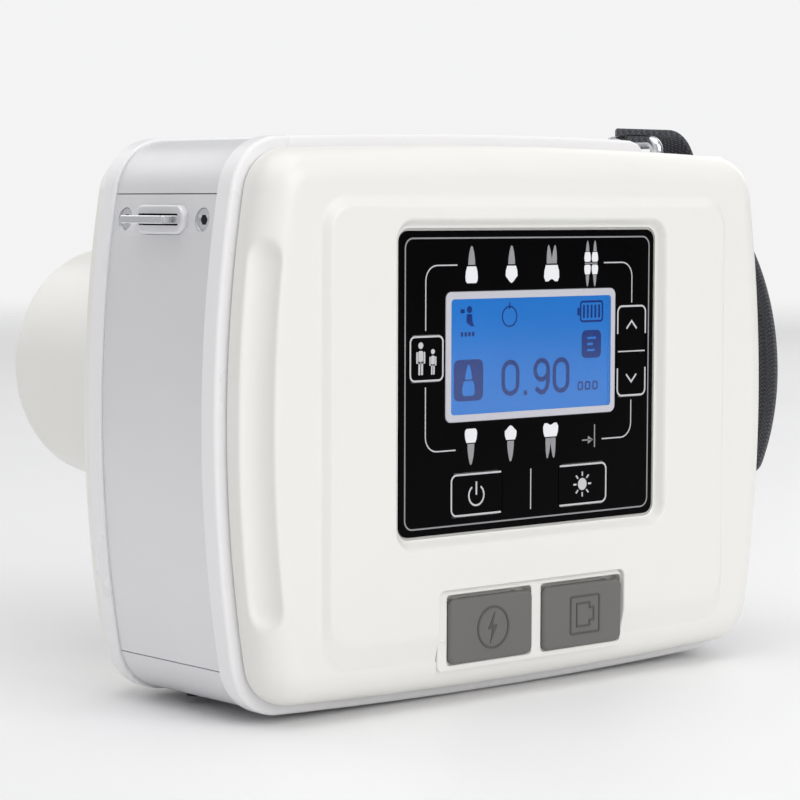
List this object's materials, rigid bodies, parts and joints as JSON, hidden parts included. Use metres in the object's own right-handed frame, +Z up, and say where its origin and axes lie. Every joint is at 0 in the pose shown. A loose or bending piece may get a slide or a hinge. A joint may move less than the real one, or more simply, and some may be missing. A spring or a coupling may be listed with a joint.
{
  "type": "handheld intraoral x-ray unit",
  "caption": "Camera-like handheld dental x-ray unit: layered rounded body, round beam cone, rear label with display and sprung keys, hinged port flaps, trigger button and padded hand strap.",
  "frame": {"origin": "On the surface the unit stands on, under the middle of the bounding box of the whole unit.", "axes": "+Y is the way the beam leaves through the cone, +X is the hand strap's side, +Z is up."},
  "size_m": [0.2324, 0.1624, 0.1576],
  "materials": {
    "shell_white": "semi-gloss moulded plastic, cream white",
    "flange_white": "semi-gloss moulded plastic, cool white",
    "frame_silver": "satin anodised",
    "lead_grey": "dull lead-grey sheet, standing for lead",
    "steel": "fine brushed, bright edges",
    "black_screw": "black oxide",
    "copper": "copper windings and anode, varnished",
    "tube_glass": "clear",
    "battery_wrap": "shrink wrap",
    "inner_black": "moulded, fine matt",
    "board_green": "glass-epoxy board with solder mask",
    "lcd_blue": "backlit blue display",
    "lcd_frame_grey": "smooth light grey",
    "window_clear": "clear acrylic, polished",
    "label_black": "polyester film, gloss black with white and grey print",
    "plug_rubber": "satin grey silicone rubber",
    "button_orange": "semi-gloss moulded",
    "strap_fabric": "dark grey knitted padding cloth",
    "strap_webbing": "woven nylon webbing, dark grey",
    "foot_rubber": "matt black"
  },
  "bodies": {
    "unit": {"mid_frame": "frame_silver", "side_panel": "frame_silver", "rear_flange": "flange_white", "rear_cover": "shell_white", "front_flange": "flange_white", "front_cover": "shell_white", "cone": "shell_white", "cone_liner": "lead_grey", "cone_collar": "shell_white", "beam_diaphragm": "lead_grey", "beam_filter": "frame_silver", "tube_tank": "frame_silver", "tank_lid": "steel", "tube_envelope": "tube_glass", "tube_anode": "copper", "tube_cathode": "steel", "hv_transformer": "copper", "chassis": "steel", "battery_cells": "battery_wrap", "battery_holder": "inner_black", "hv_board": "board_green", "main_board": "board_green", "keypad_board": "board_green", "dome_switches": "steel", "lcd_module": "steel", "lcd_screen": "lcd_blue", "lcd_bezel": "lcd_frame_grey", "lcd_window": "window_clear", "control_label": "label_black", "port_tray": "shell_white", "charge_jack": "inner_black", "switch_jack": "inner_black", "buzzer": "inner_black", "exposure_ring": "frame_silver", "exposure_spring": "steel", "exposure_switch": "inner_black", "lug_bezel": "frame_silver", "neck_strap_lug": "steel", "panel_screws": "steel", "housing_screws": "steel", "strap_ring_top": "steel", "strap_ring_bottom": "steel", "strap_webbing_top": "strap_webbing", "strap_webbing_bottom": "strap_webbing", "hand_strap_pad": "strap_fabric", "rubber_feet": "foot_rubber", "base_screws": "black_screw"},
    "patient_key": {"patient_key": "label_black"},
    "up_key": {"up_key": "label_black"},
    "down_key": {"down_key": "label_black"},
    "power_key": {"power_key": "label_black"},
    "light_key": {"light_key": "label_black"},
    "exposure_button": {"exposure_button": "button_orange"},
    "charge_flap": {"charge_plug": "plug_rubber"},
    "switch_flap": {"switch_plug": "plug_rubber"}
  },
  "joints": [
    {"name": "patient_key_press", "type": "slide", "parent": "unit", "child": "patient_key", "axis": [0, 1, 0], "range_m": [0, 0.0004], "stiffness_N_per_m": 700, "springref_m": -0.0006},
    {"name": "up_key_press", "type": "slide", "parent": "unit", "child": "up_key", "axis": [0, 1, 0], "range_m": [0, 0.0004], "stiffness_N_per_m": 700, "springref_m": -0.0006},
    {"name": "down_key_press", "type": "slide", "parent": "unit", "child": "down_key", "axis": [0, 1, 0], "range_m": [0, 0.0004], "stiffness_N_per_m": 700, "springref_m": -0.0006},
    {"name": "power_key_press", "type": "slide", "parent": "unit", "child": "power_key", "axis": [0, 1, 0], "range_m": [0, 0.0004], "stiffness_N_per_m": 700, "springref_m": -0.0006},
    {"name": "light_key_press", "type": "slide", "parent": "unit", "child": "light_key", "axis": [0, 1, 0], "range_m": [0, 0.0004], "stiffness_N_per_m": 700, "springref_m": -0.0006},
    {"name": "exposure_press", "type": "slide", "parent": "unit", "child": "exposure_button", "axis": [0, -1, 0], "range_m": [0, 0.0016], "stiffness_N_per_m": 700, "springref_m": -0.0015, "deforming": ["exposure_spring"]},
    {"name": "charge_flap_hinge", "type": "hinge", "parent": "unit", "child": "charge_flap", "pos_m": [-0.03017, -0.07935, 0.02845], "axis": [-1, 0, 0], "range_deg": [0, 90]},
    {"name": "switch_flap_hinge", "type": "hinge", "parent": "unit", "child": "switch_flap", "pos_m": [0.00473, -0.07935, 0.02845], "axis": [-1, 0, 0], "range_deg": [0, 90]}
  ]
}
